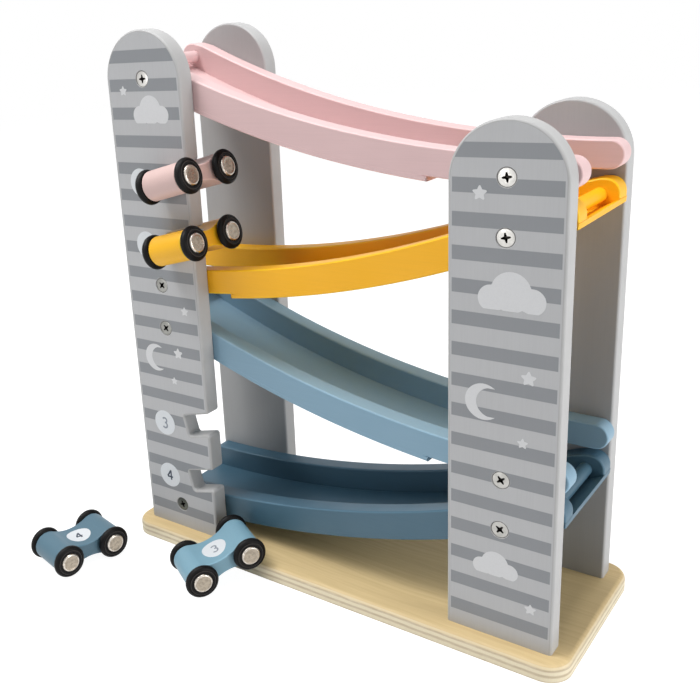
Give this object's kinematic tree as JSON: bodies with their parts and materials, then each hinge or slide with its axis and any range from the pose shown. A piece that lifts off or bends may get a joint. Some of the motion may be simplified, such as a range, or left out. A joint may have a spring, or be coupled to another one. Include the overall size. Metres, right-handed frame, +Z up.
{
  "type": "wooden racing track",
  "caption": "Wooden toy racing track: a zigzag of curved ramps between striped uprights on a plywood base, with parking notches and small wooden cars.",
  "frame": {"origin": "centre of the base board's underside, on the surface the track stands on", "axes": "+X along the track towards the lower pair of uprights, +Y from the front uprights to the back ones, +Z up"},
  "size_m": [0.3073, 0.175, 0.309],
  "materials": {
    "birch_plywood": "bare, sanded",
    "grey_paint": "satin paint",
    "pink_paint": "satin paint",
    "yellow_paint": "satin paint",
    "blue_paint": "satin paint",
    "petrol_paint": "satin paint",
    "screw_steel": "zinc plated",
    "pink_car_paint": "satin paint",
    "yellow_car_paint": "satin paint",
    "blue_car_paint": "satin paint",
    "petrol_car_paint": "satin paint",
    "axle_steel": "drawn",
    "hub_metal": "turned",
    "tyre_rubber": "matt"
  },
  "bodies": {
    "track": {"base": "birch_plywood", "upright_front_left": "grey_paint", "upright_back_left": "grey_paint", "upright_front_right": "grey_paint", "upright_back_right": "grey_paint", "ramp_1_front_rail": "pink_paint", "ramp_1_back_rail": "pink_paint", "ramp_1_floor": "pink_paint", "ramp_1_dowel": "pink_paint", "ramp_2_front_rail": "yellow_paint", "ramp_2_back_rail": "yellow_paint", "ramp_2_floor": "yellow_paint", "ramp_2_dowel": "yellow_paint", "ramp_3_front_rail": "blue_paint", "ramp_3_back_rail": "blue_paint", "ramp_3_floor": "blue_paint", "ramp_3_dowel": "blue_paint", "ramp_4_front_rail": "petrol_paint", "ramp_4_back_rail": "petrol_paint", "ramp_4_floor": "petrol_paint", "ramp_4_dowel": "petrol_paint", "screws_front_left": "screw_steel", "screws_back_left": "screw_steel", "screws_front_right": "screw_steel", "screws_back_right": "screw_steel", "base_screws": "screw_steel"},
    "pink_car": {"pink_car_body": "pink_car_paint"},
    "yellow_car": {"yellow_car_body": "yellow_car_paint"},
    "blue_car": {"blue_car_body": "blue_car_paint"},
    "petrol_car": {"petrol_car_body": "petrol_car_paint"},
    "pink_car_wheels_a": {"pink_car_axle_a": "axle_steel", "pink_car_hubs_a": "hub_metal", "pink_car_tyres_a": "tyre_rubber"},
    "pink_car_wheels_b": {"pink_car_axle_b": "axle_steel", "pink_car_hubs_b": "hub_metal", "pink_car_tyres_b": "tyre_rubber"},
    "yellow_car_wheels_a": {"yellow_car_axle_a": "axle_steel", "yellow_car_hubs_a": "hub_metal", "yellow_car_tyres_a": "tyre_rubber"},
    "yellow_car_wheels_b": {"yellow_car_axle_b": "axle_steel", "yellow_car_hubs_b": "hub_metal", "yellow_car_tyres_b": "tyre_rubber"},
    "blue_car_wheels_a": {"blue_car_axle_a": "axle_steel", "blue_car_hubs_a": "hub_metal", "blue_car_tyres_a": "tyre_rubber"},
    "blue_car_wheels_b": {"blue_car_axle_b": "axle_steel", "blue_car_hubs_b": "hub_metal", "blue_car_tyres_b": "tyre_rubber"},
    "petrol_car_wheels_a": {"petrol_car_axle_a": "axle_steel", "petrol_car_hubs_a": "hub_metal", "petrol_car_tyres_a": "tyre_rubber"},
    "petrol_car_wheels_b": {"petrol_car_axle_b": "axle_steel", "petrol_car_hubs_b": "hub_metal", "petrol_car_tyres_b": "tyre_rubber"}
  },
  "joints": [
    {"name": "pink_car_out", "type": "slide", "parent": "track", "child": "pink_car", "axis": [0.9681, 0, 0.2504], "range_m": [0, 0.025]},
    {"name": "yellow_car_out", "type": "slide", "parent": "track", "child": "yellow_car", "axis": [0.9681, 0, 0.2504], "range_m": [0, 0.025]},
    {"name": "blue_car_lift", "type": "slide", "parent": "track", "child": "blue_car", "axis": [0, 0, 1], "range_m": [0, 0.05]},
    {"name": "petrol_car_roll", "type": "slide", "parent": "track", "child": "petrol_car", "axis": [0.2334, 0.9724, 0], "range_m": [-0.06, 0.01]},
    {"name": "pink_car_axle_a_spin", "type": "hinge", "parent": "pink_car", "child": "pink_car_wheels_a", "pos_m": [-0.08066, -0.054, 0.23013], "axis": [0.9681, 0, 0.2504], "continuous": true},
    {"name": "pink_car_axle_b_spin", "type": "hinge", "parent": "pink_car", "child": "pink_car_wheels_b", "pos_m": [-0.08066, -0.023, 0.23013], "axis": [0.9681, 0, 0.2504], "continuous": true},
    {"name": "yellow_car_axle_a_spin", "type": "hinge", "parent": "yellow_car", "child": "yellow_car_wheels_a", "pos_m": [-0.08066, -0.054, 0.19363], "axis": [0.9681, 0, 0.2504], "continuous": true},
    {"name": "yellow_car_axle_b_spin", "type": "hinge", "parent": "yellow_car", "child": "yellow_car_wheels_b", "pos_m": [-0.08066, -0.023, 0.19363], "axis": [0.9681, 0, 0.2504], "continuous": true},
    {"name": "blue_car_axle_a_spin", "type": "hinge", "parent": "blue_car", "child": "blue_car_wheels_a", "pos_m": [-0.06622, -0.07817, 0.0098], "axis": [-0.8572, 0.515, 0], "continuous": true},
    {"name": "blue_car_axle_b_spin", "type": "hinge", "parent": "blue_car", "child": "blue_car_wheels_b", "pos_m": [-0.05098, -0.05283, 0.0191], "axis": [-0.8572, 0.515, 0], "continuous": true},
    {"name": "petrol_car_axle_a_spin", "type": "hinge", "parent": "petrol_car", "child": "petrol_car_wheels_a", "pos_m": [-0.14962, -0.10897, 0.0098], "axis": [-0.9724, 0.2334, 0], "continuous": true},
    {"name": "petrol_car_axle_b_spin", "type": "hinge", "parent": "petrol_car", "child": "petrol_car_wheels_b", "pos_m": [-0.14238, -0.07883, 0.0098], "axis": [-0.9724, 0.2334, 0], "continuous": true}
  ]
}
